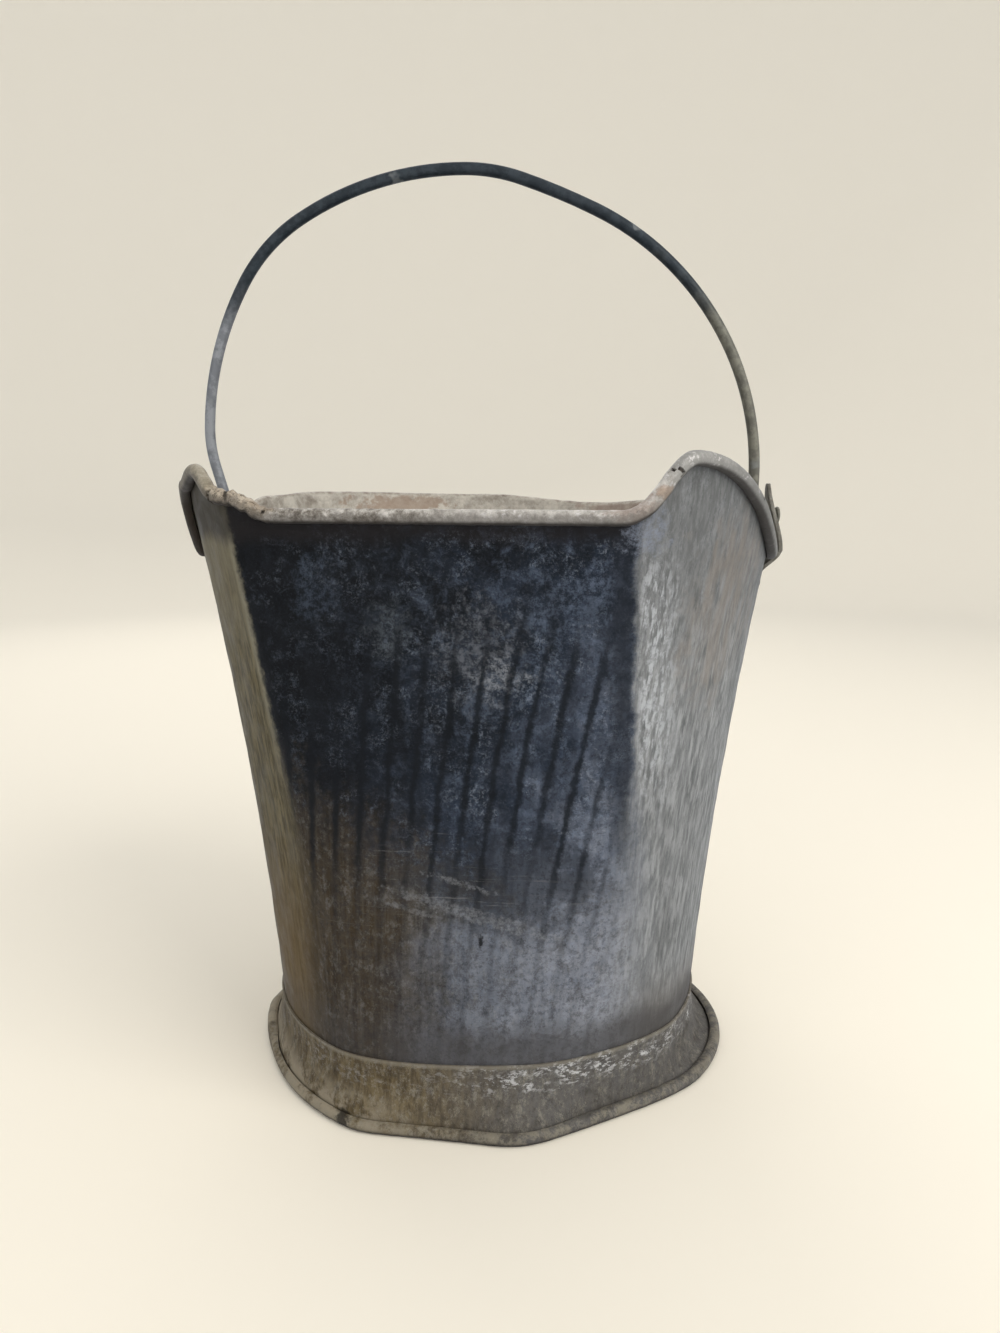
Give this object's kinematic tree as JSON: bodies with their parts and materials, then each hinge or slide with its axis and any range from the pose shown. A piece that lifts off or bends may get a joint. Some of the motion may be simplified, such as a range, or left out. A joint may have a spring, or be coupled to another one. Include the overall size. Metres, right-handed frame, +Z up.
{
  "type": "crushed galvanised steel bucket with bail handle",
  "caption": "Weathered zinc-coated sheet-steel bucket, crushed flat at the front, with wired rolled rim, flared foot ring, riveted ears and a swinging wire bail.",
  "frame": {"origin": "middle of the foot on the floor, on the axis of the round back", "axes": "+Z up, +X through the right ear, +Y to the round back; the crushed front faces -Y"},
  "size_m": [0.305, 0.2853, 0.4519],
  "materials": {
    "stained_zinc": "zinc coating stained near black at the top and mottled blue-grey below, with vertical drip streaks",
    "grey_zinc": "dull silver-grey weathered zinc with fine vertical streaks",
    "rim_wire": "drawn steel wire, dull, hidden in the rolled edge",
    "foot_zinc": "dark warm-grey weathered zinc with short streaks and white scale",
    "ear_zinc": "dull olive-grey weathered zinc",
    "rivet_zinc": "dull grey zinc-coated rivets",
    "bail_iron": "slate-grey round bar with rubbed lighter patches"
  },
  "bodies": {
    "bucket": {"front_sheet": "stained_zinc", "back_sheet": "grey_zinc", "front_rim_wire": "rim_wire", "back_rim_wire": "rim_wire", "foot_ring": "foot_zinc", "foot_wire": "rim_wire", "bottom_pan": "grey_zinc", "right_ear": "ear_zinc", "left_ear": "ear_zinc", "right_ear_rivet_front": "rivet_zinc", "right_ear_rivet_back": "rivet_zinc", "left_ear_rivet_front": "rivet_zinc", "left_ear_rivet_back": "rivet_zinc"},
    "bail": {"bail": "bail_iron"}
  },
  "joints": [
    {"name": "bail_swing", "type": "hinge", "parent": "bucket", "child": "bail", "pos_m": [0, 0, 0.28235], "axis": [1, 0, 0], "range_deg": [-78, 64]}
  ]
}
